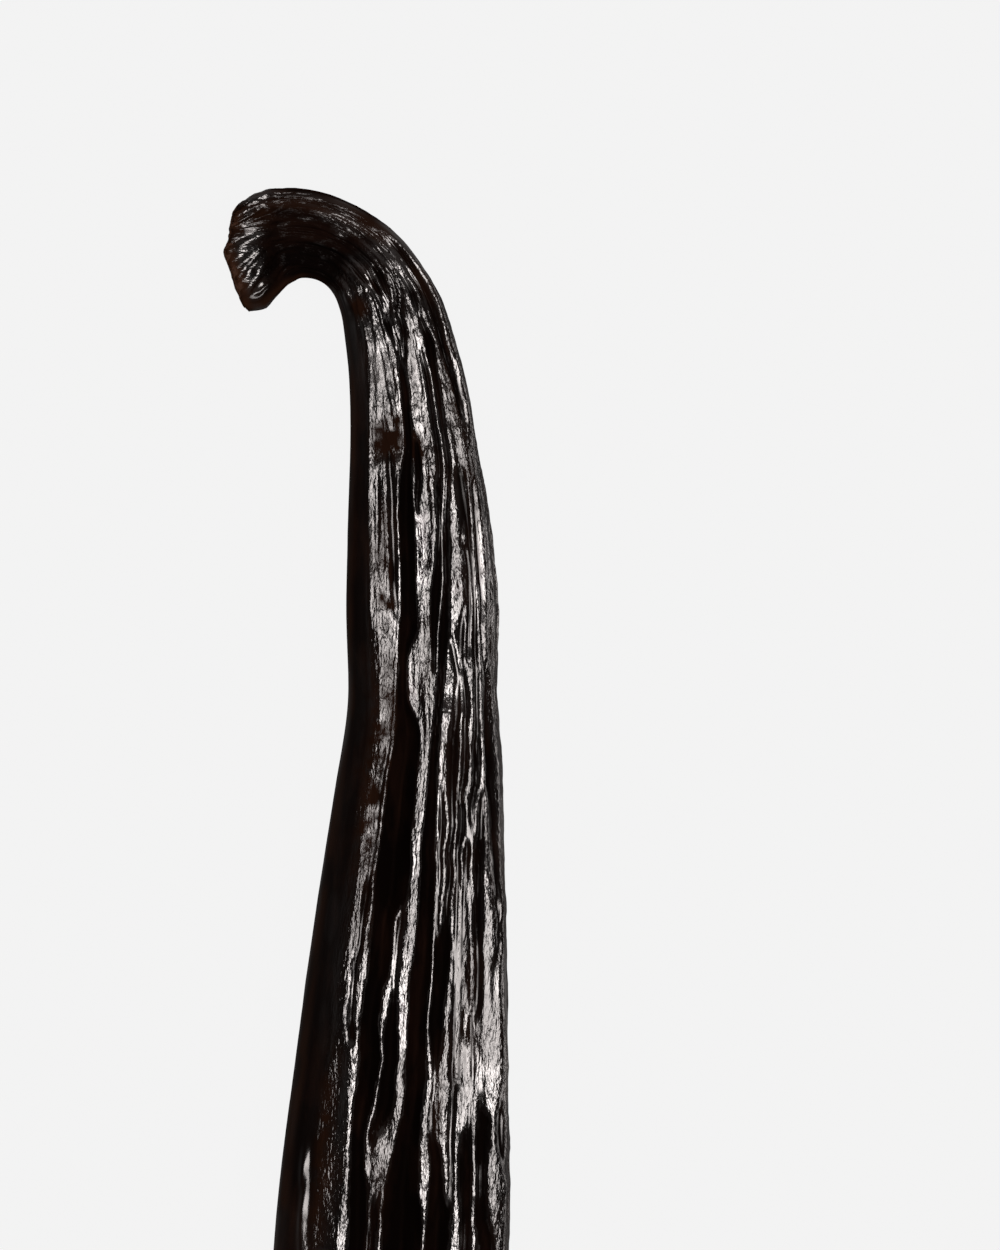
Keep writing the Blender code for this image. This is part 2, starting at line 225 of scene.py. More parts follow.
FURROWS = (
    # The deep folds down the upper side, from the hook to the tip.
    Furrow((
        (9.2, -0.03, 0.02), (9.8, -0.05, 0.03), (11.2, -0.07, 0.02), (13.2, -0.09, 0), (14.7, -0.2, -0.05),
        (16.2, -0.26, -0.06), (18.7, -0.25, -0.08), (20.7, -0.28, -0.06), (22.2, -0.3, -0.2),
        (23.7, -0.31, -0.2), (24.7, -0.31, -0.08), (25.7, -0.32, -0.04), (27.2, -0.37, -0.04),
        (29.2, -0.395, -0.05), (31, -0.4, -0.05), (32, -0.39, -0.06), (33, -0.375, -0.17),
        (35, -0.38, -0.175), (36, -0.4, -0.24), (37, -0.405, -0.245), (38, -0.4, -0.215),
        (39, -0.385, -0.2), (40, -0.385, -0.21), (41, -0.39, -0.24), (42, -0.385, -0.27),
        (43, -0.37, -0.265), (44, -0.36, -0.23), (46.2, -0.36, -0.205), (70, -0.34, -0.2),
        (110, -0.3, -0.14), (150, -0.28, -0.12), (172, -0.24, -0.1),
    )),
    Furrow((
        (8.5, 0.5, 0.55), (9.2, 0.5, 0.62), (10.2, 0.48, 0.575), (12.2, 0.485, 0.56), (14.2, 0.48, 0.55),
        (15.2, 0.42, 0.45), (16.2, 0.37, 0.43), (17.2, 0.34, 0.41), (18.7, 0.31, 0.375), (20.2, 0.26, 0.36),
        (21.2, 0.23, 0.35), (22.2, 0.22, 0.3), (23, 0.215, 0.28), (24, 0.2, 0.27), (25, 0.17, 0.245),
        (26, 0.135, 0.225), (27, 0.13, 0.215), (28, 0.125, 0.235), (30, 0.105, 0.235), (31, 0.11, 0.255),
        (32, 0.11, 0.255), (33, 0.1, 0.25), (34, 0.08, 0.245), (35, 0.055, 0.24), (36, 0.045, 0.235),
        (37, 0.06, 0.235), (38, 0.075, 0.235), (39, 0.06, 0.23), (40, 0.065, 0.225), (41, 0.05, 0.215),
        (42, 0, 0.205), (43, -0.03, 0.2), (44, -0.07, 0.2), (45, -0.08, 0.23), (46.2, -0.06, 0.24),
        (70, 0.06, 0.2), (110, 0.12, 0.25), (150, 0.14, 0.28), (172, 0.16, 0.3),
    )),
    Furrow((
        (9.8, 0.36, 0.38), (10.4, 0.35, 0.435), (12.2, 0.35, 0.43), (14.2, 0.36, 0.42), (15.2, 0.3, 0.38),
        (16.7, 0.29, 0.335), (18.2, 0.22, 0.3), (19.7, 0.14, 0.26), (21.2, 0.13, 0.2), (22.4, 0.15, 0.18),
    )),
    Furrow((
        (20.9, 0.35, 0.37), (21.8, 0.39, 0.46), (22.5, 0.44, 0.52), (23, 0.48, 0.54), (24, 0.44, 0.535),
        (25, 0.39, 0.52), (26, 0.36, 0.485), (27, 0.36, 0.47), (28, 0.38, 0.455), (29.2, 0.41, 0.445),
    ), steep=0.75),
    Furrow((
        (29, 0.41, 0.44), (30, 0.37, 0.425), (31, 0.4, 0.45), (32, 0.385, 0.42), (33, 0.36, 0.42),
        (34, 0.29, 0.435), (35, 0.275, 0.42), (36, 0.265, 0.39), (37, 0.27, 0.385), (38, 0.285, 0.375),
        (38.7, 0.305, 0.34), (39.2, 0.31, 0.325), (41.5, 0.31, 0.325), (42.3, 0.31, 0.39),
        (43, 0.315, 0.415), (44, 0.31, 0.415), (45, 0.295, 0.48), (46.2, 0.28, 0.48), (70, 0.38, 0.48),
        (110, 0.46, 0.56), (150, 0.46, 0.58), (172, 0.48, 0.6),
    )),
    Furrow((
        (27.6, 0.275, 0.29), (28, 0.28, 0.305), (29, 0.28, 0.325), (30, 0.275, 0.295), (31, 0.3, 0.315),
        (32, 0.285, 0.3), (33, 0.28, 0.305), (34, 0.28, 0.31),
    )),
    # The shorter folds left of them.
    Furrow(((14.7, -0.6, -0.54), (16.2, -0.6, -0.54), (18.2, -0.58, -0.555)), steep=0.5),
    Furrow((
        (13.7, -0.42, -0.3), (15.7, -0.4, -0.3), (17.7, -0.41, -0.3), (19.2, -0.4, -0.3),
        (20.2, -0.36, -0.31),
    ), steep=0.6),
    Furrow(((24.9, 0.01, 0.02), (27.2, -0.005, 0.005), (30.2, -0.01, 0)), steep=0.7, lip=0.03),
    Furrow((
        (25.7, -0.42, -0.36), (27.2, -0.48, -0.4), (29.2, -0.5, -0.42), (31.2, -0.49, -0.43),
    ), steep=0.5),
    Furrow((
        (31.4, -0.49, -0.45), (32, -0.51, -0.445), (33, -0.5, -0.47), (34, -0.51, -0.48),
        (35, -0.555, -0.51), (36, -0.53, -0.51), (37, -0.535, -0.49), (37.8, -0.53, -0.46),
    )),
    Furrow((
        (32.4, -0.1, -0.07), (33, -0.14, -0.04), (34, -0.14, -0.085), (35, -0.14, -0.09),
        (36, -0.13, -0.09),
    ), steep=0.7),
    Furrow((
        (36.1, -0.14, -0.09), (37, -0.15, -0.06), (38, -0.165, -0.035), (39, -0.16, -0.04),
        (40, -0.175, -0.045), (40.8, -0.195, -0.06), (41.3, -0.215, -0.12), (42, -0.24, -0.19),
    )),
    Furrow(((42, -0.25, -0.225), (43, -0.24, -0.2), (44, -0.215, -0.195), (46, -0.19, -0.17)), steep=0.6),
    Furrow((
        (42.6, -0.395, -0.375), (44, -0.395, -0.36), (46.2, -0.42, -0.37), (52, -0.42, -0.37),
    ), steep=0.3),
    Furrow(((42.9, -0.792, -0.784), (45.2, -0.76, -0.752), (49, -0.735, -0.727)), steep=0.7, lip=0.02),
    Furrow((
        (47, -0.66, -0.5), (70, -0.66, -0.52), (110, -0.64, -0.52), (150, -0.66, -0.54),
        (172, -0.66, -0.56),
    ), steep=0.6),
    # The shorter folds right of them.
    Furrow((
        (14.7, 0.6, 0.75), (16.2, 0.6, 0.74), (17.2, 0.58, 0.61), (19.2, 0.575, 0.6), (20.2, 0.53, 0.59),
        (21.2, 0.46, 0.59), (22.2, 0.5, 0.56),
    ), steep=0.6),
    Furrow(((17.7, 0.62, 0.66), (20.2, 0.615, 0.66), (21.7, 0.62, 0.65))),
    Furrow((
        (15.7, 0.68, 0.73), (17.2, 0.67, 0.73), (19.2, 0.685, 0.72), (21.2, 0.69, 0.745),
        (22.7, 0.73, 0.76), (24, 0.725, 0.765), (25, 0.71, 0.765), (26, 0.665, 0.735), (27, 0.655, 0.72),
        (28, 0.63, 0.66), (28.6, 0.64, 0.65),
    )),
    Furrow((
        (22.8, 0.55, 0.585), (24, 0.565, 0.62), (25, 0.56, 0.6), (26, 0.535, 0.585), (27, 0.515, 0.555),
        (28, 0.49, 0.5), (28.6, 0.485, 0.49),
    )),
    Furrow((
        (28.2, 0.5, 0.55), (29, 0.495, 0.555), (30, 0.47, 0.51), (31, 0.485, 0.52), (32, 0.48, 0.515),
        (34, 0.47, 0.5), (36, 0.48, 0.505), (37, 0.47, 0.505), (38, 0.475, 0.51), (39, 0.465, 0.505),
        (40, 0.475, 0.515), (42, 0.475, 0.51), (43, 0.485, 0.515), (45, 0.47, 0.5),
    ), lip=0.06),
    Furrow((
        (29.8, 0.56, 0.61), (31, 0.57, 0.6), (32, 0.55, 0.585), (33, 0.54, 0.575), (34, 0.53, 0.565),
        (35, 0.53, 0.56), (37.5, 0.53, 0.555), (39.5, 0.535, 0.56),
    ), lip=0.06),
    Furrow(((31.5, 0.62, 0.64), (33, 0.6, 0.62), (35, 0.59, 0.61), (36.2, 0.605, 0.63)), lip=0.05),
    Furrow(((38, 0.59, 0.61), (40, 0.575, 0.605), (41, 0.575, 0.6)), lip=0.05),
    Furrow((
        (27.8, 0.75, 0.79), (29, 0.73, 0.79), (30, 0.67, 0.78), (31, 0.68, 0.765), (32, 0.67, 0.745),
        (33, 0.66, 0.74), (34, 0.7, 0.745), (35, 0.705, 0.75), (36, 0.69, 0.735), (37, 0.635, 0.68),
        (38, 0.635, 0.68), (39, 0.655, 0.695), (40, 0.645, 0.665), (41, 0.635, 0.67), (42, 0.58, 0.67),
        (43, 0.565, 0.68), (44, 0.57, 0.68), (46.2, 0.59, 0.665), (70, 0.62, 0.7), (110, 0.72, 0.8),
        (150, 0.72, 0.8), (172, 0.74, 0.82),
    ), steep=1.1),
    Furrow(((36.5, 0.715, 0.735), (37.5, 0.71, 0.73), (38.4, 0.71, 0.72)), lip=0.03),
    Furrow((
        (38.4, 0.755, 0.76), (39.5, 0.755, 0.765), (40.3, 0.735, 0.77), (41, 0.73, 0.82), (42, 0.71, 0.82),
        (43, 0.725, 0.785), (44, 0.725, 0.79), (45, 0.7, 0.82), (46.2, 0.755, 0.88), (60, 0.78, 0.86),
    )),
    Furrow((
        (15.2, 0.8, 0.88), (17.2, 0.77, 0.86), (19.2, 0.76, 0.85), (21.2, 0.78, 0.82), (22.8, 0.84, 0.88),
        (24, 0.82, 0.91), (25, 0.81, 0.92), (26, 0.8, 0.94), (27, 0.8, 0.93), (28, 0.84, 0.94),
        (30, 0.86, 0.95), (31, 0.89, 0.965), (32, 0.89, 0.95), (33, 0.915, 0.955), (34, 0.91, 0.96),
        (35, 0.88, 0.9), (36.5, 0.9, 0.91),
    ), steep=0.75),
    Furrow(((39.8, 0.95, 0.98), (41, 0.89, 0.98), (42, 0.91, 0.98), (43, 0.955, 0.98)), steep=0.8),
    Furrow(((13.4, 0.03, 0.12), (14.3, 0.02, 0.12), (15.1, 0.01, 0.08), (15.8, 0, 0.03)), lip=0.05),
    # Creases along the hook's outer side.
    Furrow(((2.7, 0.6, 0.62), (3.7, 0.6, 0.62), (4.9, 0.57, 0.59)), steep=1.0, fade=0.3, lip=0.035),
    Furrow(((3, 0.49, 0.51), (3.9, 0.48, 0.5), (4.8, 0.46, 0.48)), steep=1.0, fade=0.3, lip=0.035),
    Furrow((
        (0.2, 0.76, 0.79), (1.6, 0.77, 0.8), (3.4, 0.75, 0.78), (5.4, 0.74, 0.77),
    ), steep=1.0, lip=0.03),
    Furrow(((0.6, 0.88, 0.9), (1.8, 0.88, 0.9), (3.8, 0.87, 0.89)), steep=0.8, lip=0.02),
    # Folds that run together where the hook straightens into the neck.
    Furrow((
        (7, -0.03, 0.01), (7.5, -0.09, -0.04), (8, -0.18, -0.09), (8.5, -0.14, -0.07), (9, -0.1, -0.06),
        (9.8, -0.05, -0.02),
    ), steep=1.6, fade=0.3, lip=0.035),
    Furrow(((8.6, -0.04, -0.01), (9, -0.035, 0.005), (9.5, -0.01, 0.02)), steep=1.6, fade=0.3, lip=0.025),
    Furrow((
        (5.9, 0.06, 0.2), (6.5, 0.05, 0.13), (7, 0.03, 0.08), (7.5, -0.04, 0.02), (8, -0.08, -0.03),
    ), steep=1.6, fade=0.3, lip=0.035),
    Furrow(((6.7, 0.13, 0.16), (7.2, 0.07, 0.11), (7.8, -0.01, 0.02)), steep=1.6, fade=0.3, lip=0.025),
    Furrow((
        (6.5, 0.3, 0.33), (7, 0.22, 0.3), (7.5, 0.11, 0.2), (8, 0.08, 0.11),
    ), steep=1.6, fade=0.3, lip=0.035),
    Furrow((
        (6.9, 0.37, 0.4), (7.5, 0.24, 0.28), (8, 0.12, 0.19), (8.5, 0.12, 0.21), (9, 0.07, 0.135),
        (9.5, 0.035, 0.1), (10, 0, 0.05),
    ), steep=1.6, fade=0.3, lip=0.035),
    Furrow(((6.7, 0.52, 0.57), (7.2, 0.51, 0.6), (7.8, 0.5, 0.54)), steep=1.6, fade=0.3, lip=0.035),
    Furrow(((6.6, 0.7, 0.74), (7.2, 0.71, 0.8), (7.7, 0.7, 0.74)), steep=1.6, fade=0.3, lip=0.035),
    Furrow((
        (4.9, -0.07, -0.03), (5.6, -0.08, -0.04), (6.4, -0.16, -0.02), (6.9, -0.12, -0.04),
    ), steep=1.6, fade=0.3, lip=0.025),
    Furrow((
        (5.7, 0.76, 0.84), (7.2, 0.78, 0.87), (9.7, 0.76, 0.83), (11.2, 0.83, 0.91), (12.2, 0.84, 0.9),
    )),
    Furrow(((5.5, -0.28, -0.22), (6.5, -0.2, -0.16), (7.4, -0.14, -0.11)), steep=1.0),
    # The flanks and the underside.
    Furrow(((3, -1.4, -1.24), (60, -1.42, -1.3), (172, -1.4, -1.26))),
    Furrow(((3, -1.74, -1.6), (60, -1.72, -1.62), (172, -1.74, -1.62))),
    Furrow(((3, -1.2, -1.12), (40, -1.22, -1.14), (90, -1.24, -1.12), (172, -1.22, -1.12)), steep=0.6),
    Furrow(((3, 1.1, 1.22), (45, 1.06, 1.16), (110, 1.1, 1.2), (172, 1.1, 1.2))),
    Furrow(((3, 1.46, 1.6), (70, 1.44, 1.56), (172, 1.46, 1.6))),
)

# Places where the skin is dry and dull: the last number is the share of its shine lost.
DULL = dents(
    (27, -0.52, 8.5, 1.7, 0.85), (13, -0.38, 1.35, 1.2, 1.5), (12.3, -0.22, 0.6, 0.7, 1),
    (13.4, 0.07, 1, 0.55, 1.5), (40.5, 0.36, 2.4, 0.35, 0.75), (33.5, -0.42, 4.5, 1.3, 0.3),
    (27, 0.42, 3.5, 0.7, 0.55), (31.5, 0.93, 2, 0.5, 0.3), (43, -0.66, 6.5, 0.8, 1),
    (43.3, -0.12, 1.6, 0.6, 0.45), (18.6, -0.38, 1.5, 0.26, 1.4), (19.6, -0.53, 0.5, 0.35, 1),
    (19.85, -0.41, 0.4, 0.35, 1.5), (16.8, -0.47, 1.8, 0.25, 1), (17.8, -0.54, 0.7, 0.5, 1),
    (21.5, 0.1, 3, 0.4, 0.45), (35.6, 0.72, 3.4, 0.9, 0.35), (17.5, -0.5, 4, 0.8, 0.25),
    (24, -0.3, 3.5, 0.7, 0.35), (14.6, 0.4, 2.4, 0.8, 0.3), (45.3, -0.14, 1.8, 0.6, 0.5),
    (15.2, 0.68, 2.2, 0.5, 0.5), (0.4, 0.66, 0.9, 0.5, 0.8), (0.1, 0.06, 1.2, 0.36, 1.4),
    (0.95, 0.36, 0.7, 0.8, 1.6), (7, -0.62, 0.8, 0.7, 1.4), (10.8, 0.8, 4.5, 0.42, 0.75),
    (14.6, 0.82, 3, 0.4, 0.45),
)

# Places where the skin is smoother: the last number is the share of its crinkle lost.
SMOOTH = dents(
    (9.9, -0.42, 3.2, 1.1, 1.1), (10.2, 0.22, 2.6, 0.7, 0.9), (17.5, -0.64, 4.5, 0.4, 0.8),
    (29.2, 0.65, 1.8, 0.7, 1.2), (35.4, 0.84, 4, 1.2, 0.65),
)

# Places on the dry hook where the skin still shines: the last number is the share of full shine.
SHINY = dents(
    (0.9, 0.86, 1.5, 0.28, 0.6), (1.5, 0.66, 0.9, 0.2, 0.4), (2.6, 0.84, 1, 0.26, 0.35),
    (3.6, 0.86, 1.1, 0.3, 0.5), (2.7, 0.66, 0.6, 0.16, 0.4), (3.9, 0.56, 1.3, 0.36, 1.3),
    (3.8, 0.24, 0.45, 0.28, 1.2), (1.85, 0.2, 0.16, 0.1, 1.2), (2.6, 0.34, 0.3, 0.14, 0.9),
    (3.2, 0.4, 0.25, 0.14, 0.8), (3.6, -0.45, 0.22, 0.12, 0.8), (3.2, -0.15, 0.3, 0.14, 0.5),
)

# Places with short creases across the pod: the last number is their share of full height.
CREASED = dents(
    (13.8, 0.27, 2.6, 0.5, 1.3), (14.6, -0.4, 1.6, 1, 1.2), (12.4, -0.3, 0.9, 0.9, 1), (12, 0.1, 1, 0.4, 1),
    (0.4, -0.45, 1.2, 2.2, 1.2), (38.5, -0.45, 3, 0.9, 1.1),
)

# Hollows pressed into the skin, and swellings, whose depth is below 0.
DENTS = dents(
    (3.8, 0.2, 0.45, 0.32, -0.08), (12.4, -0.45, 0.6, 0.8, 0.05), (13.1, -0.36, 0.9, 1.2, 0.09),
    (13.2, 0.08, 0.9, 0.6, 0.08), (13.9, -0.42, 0.35, 0.7, -0.04), (8.2, 0.91, 4.8, 0.28, -0.17),
    (12, 0.93, 3.4, 0.26, -0.14), (23.4, 0.4, 1.2, 0.9, 0.12), (28.8, -0.45, 2.6, 1.4, 0.16),
    (41.4, -0.13, 0.7, 0.4, 0.1), (42.9, -0.18, 0.7, 0.3, 0.1), (43.9, -0.12, 0.9, 0.3, 0.1),
    (43.3, -0.795, 1.2, 0.24, -0.13), (45.2, -0.765, 2.2, 0.24, -0.13), (47.6, -0.74, 1.8, 0.24, -0.13),
    (67, 0.3, 5, 2.6, 0.3), (96, -0.45, 6, 2.6, 0.32), (128, 0.35, 6, 2.6, 0.3),
)


@dataclass(frozen=True)
class PodShape:
    """The pod's smooth form: its bent spine and the sections that stand on it."""

    length: float = 178.0
    sink: float = 0.20
    inner_power: Curve = Curve((
        (0, 4.6), (1, 4.6), (1.9, 2.5), (5, 2.7), (9, 3.8), (14, 6), (19.5, 6), (23, 3.6), (178, 3.6),
    ))
    under_power: float = 2.6
    stem_power: float = 2.3
    outer_power: Curve = Curve((
        (0, 3.2), (0.8, 5), (1.8, 7), (4.6, 7), (7, 6), (13, 6), (18, 4.4), (29, 5.2), (33, 15), (44, 15),
        (60, 5), (178, 3),
    ))
    shoulder: Curve = Curve((
        (0, -0.62), (9, -0.63), (12, -0.66), (15, -0.69), (19.5, -0.69), (21.5, -0.62), (30, -0.61),
        (34, -0.6), (37, -0.585), (38.3, -0.49), (40, -0.475), (41.2, -0.42), (46, -0.44), (60, -0.55),
        (178, -0.6),
    ))
    shoulder_slope: float = 0.55
    lean: Curve = Curve(((0.9, 0), (1.8, 0.55), (4.2, 0.55), (5.8, 0)))
    lean_from: float = 0.5
    heading: float = 2.0
    bends: Pairs = (
        (2.1, 3), (4.1, 59), (2, 15.5), (3, 8), (8, 5), (5, 2), (4, 3.5), (18, -1), (50, -5), (48, -7),
        (33.8, -10),
    )
    inner: Curve = Curve((
        (0, 3.18), (0.7, 3.1), (1.3, 2.55), (1.9, 2.02), (2.6, 1.8), (4.2, 1.7), (6, 1.84), (8, 2.12),
        (12, 2.48), (17, 2.98), (20.5, 3.14), (23.5, 3.08), (27.5, 3.46), (33, 3.95), (38, 4.33),
        (46, 4.84), (58, 5.02), (74, 4.86), (88, 5.06), (104, 4.94), (120, 4.78), (136, 4.58), (150, 4),
        (163, 3), (171, 2.1), (175.5, 1.5), (178, 1.05),
    ))
    outer: Curve = Curve((
        (0, 1.38), (0.7, 1.72), (1.3, 1.84), (1.9, 1.84), (2.6, 1.8), (4.2, 1.72), (6, 1.86), (8, 2.12),
        (12, 2.48), (17, 2.98), (20.5, 3.14), (23.5, 3.08), (27.5, 3.44), (33, 3.94), (38, 4.32), (46, 4.8),
        (58, 4.92), (74, 5.08), (88, 5), (104, 4.8), (120, 4.92), (136, 4.46), (150, 4.05), (163, 3.1),
        (171, 2.2), (175.5, 1.55), (178, 1.1),
    ))
    thick: Curve = Curve((
        (0, 2), (1, 1.88), (1.8, 1.6), (2.5, 1.45), (4, 1.5), (6, 1.72), (8, 1.98), (12, 2.25), (20, 2.6),
        (30, 2.95), (44, 3.3), (58, 3.45), (72, 3.32), (90, 3.45), (125, 3.25), (150, 2.85), (163, 2.2),
        (171, 1.65), (178, 0.95),
    ))
    lift: Curve = Curve((
        (0, 0.3), (1.2, 0.55), (2.5, 1.15), (4, 1.26), (6, 1.11), (8, 0.78), (12, 0.48), (20, 0.15),
        (30, 0), (150, 0), (163, 0.15), (171, 0.4), (178, 0.8),
    ))
    rim: Curve = Curve((
        (-3.25, -0.05), (-2.98, 0.14), (-2.66, 0.24), (-1.75, 0.49), (-1.14, 0.71), (-0.71, 0.78),
        (-0.17, 0.58), (0.3, 0.5), (0.81, 0.4), (1.2, 0.2), (1.46, 0.02),
    ))

    def headings(self, distance: np.ndarray) -> np.ndarray:
        """Works out which way the spine runs.

        Args:
            distance: Distances along the pod.

        Returns:
            Its direction in plan at each distance, in radians from +X.
        """
        ends = np.cumsum([0.0] + [length for length, _ in self.bends])
        turned = np.cumsum([0.0] + [turn for _, turn in self.bends])
        return np.radians(self.heading - np.interp(distance, ends, turned))

    def spine(self, distance: np.ndarray) -> np.ndarray:
        """Follows the spine.

        Args:
            distance: Distances along the pod.

        Returns:
            The spine's (x, y) at each distance, before the pod is centred.
        """
        fine = np.linspace(0.0, self.length, 9000)
        heading = self.headings((fine[1:] + fine[:-1]) / 2)
        step = fine[1] - fine[0]
        x = np.concatenate([[0.0], np.cumsum(np.cos(heading)) * step])
        y = np.concatenate([[0.0], np.cumsum(np.sin(heading)) * step])
        return np.stack([np.interp(distance, fine, x), np.interp(distance, fine, y)], axis=-1)

    def section(self, distance: np.ndarray, turn: np.ndarray) -> tuple[np.ndarray, np.ndarray]:
        """Works out the smooth sections.

        Args:
            distance: Distances along the pod, one column.
            turn: Angles round the section, one row.

        Returns:
            How far each point is across from the spine, and how far up.
        """
        sine, cosine = np.sin(turn), np.cos(turn)
        body = ease((distance - 2.0) / 8.0)
        upper = np.where(sine > 0, self.outer_power.at(distance), self.inner_power.at(distance))
        power = np.where(cosine < 0, self.stem_power + body * (self.under_power - self.stem_power), upper)
        scale = (np.abs(sine) ** power + np.abs(cosine) ** power) ** (-1 / power)
        width = np.where(sine > 0, self.outer.at(distance), self.inner.at(distance))
        side = scale * sine
        shoulder = self.shoulder.at(distance)
        past = np.clip((shoulder - side) / (1 + shoulder), 0.0, 1.0)
        fall = self.shoulder_slope * width * (1 + shoulder) * past * (1 - past) * body
        inward = np.clip(self.lean_from - side, 0.0, 1.5) / 1.5
        rise = np.where(cosine > 0, 1 - self.lean.at(distance) * inward, 1.0)
        up = self.thick.at(distance) * scale * cosine * rise - np.where(cosine > 0, fall, 0.0)
        return width * side, up

    def height(self, distance: np.ndarray) -> np.ndarray:
        """The spine's height over the floor."""
        return self.thick.at(distance) - self.sink + self.lift.at(distance)

    def offset(self) -> Vector:
        """Lines the spine up with the pod's box.

        Returns:
            What takes a place on the uncentred spine to the part's own frame, in millimetres.
        """
        distance = np.linspace(0.0, self.length, 1200)[:, None]
        turn = np.radians(np.array([[-90.0, 90.0]]))
        across, _ = self.section(distance, turn)
        points = bend(self, distance, across, np.zeros_like(across)).reshape(-1, 3)
        _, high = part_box(NODE)
        return Vector((high[0] / MM - points[:, 0].max(), high[1] / MM - points[:, 1].max(), 0.0))


def bend(shape: PodShape, distance: np.ndarray, across: np.ndarray, up: np.ndarray) -> np.ndarray:
    """Bends straight sections along the spine.

    Args:
        shape: The pod's form.
        distance: Distances along the pod, one column, or one for each point.
        across: How far each point is across from the spine.
        up: How far each point is above the spine.

    Returns:
        The points as (x, y, z), before the pod is centred.
    """
    inside = np.clip(distance, 0.0, shape.length)
    heading = shape.headings(inside)
    spine = shape.spine(inside)
    past = distance - inside
    x = spine[..., 0] + past * np.cos(heading) - across * np.sin(heading)
    y = spine[..., 1] + past * np.sin(heading) + across * np.cos(heading)
    z = np.broadcast_to(shape.height(inside) + up, across.shape)
    return np.stack([x, y, z], axis=-1)


# --- Modelling helpers ---------------------------------------------------------------------------


class Layer(Enum):
    """The values that the skin's points carry for its finish."""

    STRAIGHT = "straight"
    GRAIN = "grain"
    OIL = "oil"
    # Brown of the skin, and the lighter brown low on the flanks, which is painted light.
    BROWN_AND_FLANK_LIGHT = "brown_and_flank_light"


def deselect_all() -> None:
    """Leaves nothing selected."""
    bpy.ops.object.select_all(action="DESELECT")


def weld_and_smooth(piece: bpy.types.Object) -> None:
    """Closes a rolled sheet's seam and poles, faces it outwards and shades it smooth.

    Args:
        piece: The sheet, which is the active object. It is not used: the operators work on the active
            object.
    """
    bpy.ops.object.mode_set(mode="EDIT")
    bpy.ops.mesh.select_all(action="SELECT")
    bpy.ops.mesh.remove_doubles(threshold=WELD)
    bpy.ops.mesh.normals_make_consistent(inside=False)
    bpy.ops.object.mode_set(mode="OBJECT")
    bpy.ops.object.shade_smooth()


def rolled_sheet(name: str, points: np.ndarray) -> bpy.types.Object:
    """Adds a grid and moves its points to the places of a rolled sheet.

    Args:
        name: The piece's name.
        points: The places in millimetres, by row and column.

    Returns:
        The sheet's object, at the origin.
    """
    deselect_all()
    rows, columns = points.shape[:2]
    bpy.ops.mesh.primitive_grid_add(x_subdivisions=columns - 1, y_subdivisions=rows - 1, size=1.0)
    piece = bpy.context.object
    piece.name = name
    piece.data.name = name
    piece.data.vertices.foreach_set("co", (points.reshape(-1, 3) * MM).ravel())
    piece.data.update()
    return piece


def add_layer(piece: bpy.types.Object, layer: Layer, values: np.ndarray) -> None:
    """Stores a value or a vector for each point of a mesh, for its finish to read.

    Args:
        piece: The mesh object.
        layer: Which of the skin's values they are.
        values: One number, or three, for each point.
    """
    vectors = values.shape[-1] == 3 and values.ndim == 3
    kind, key = ("FLOAT_VECTOR", "vector") if vectors else ("FLOAT", "value")
    attribute = piece.data.attributes.new(layer.value, kind, "POINT")
    attribute.data.foreach_set(key, np.ascontiguousarray(values, dtype=np.float32).ravel())


# --- The pieces ----------------------------------------------------------------------------------


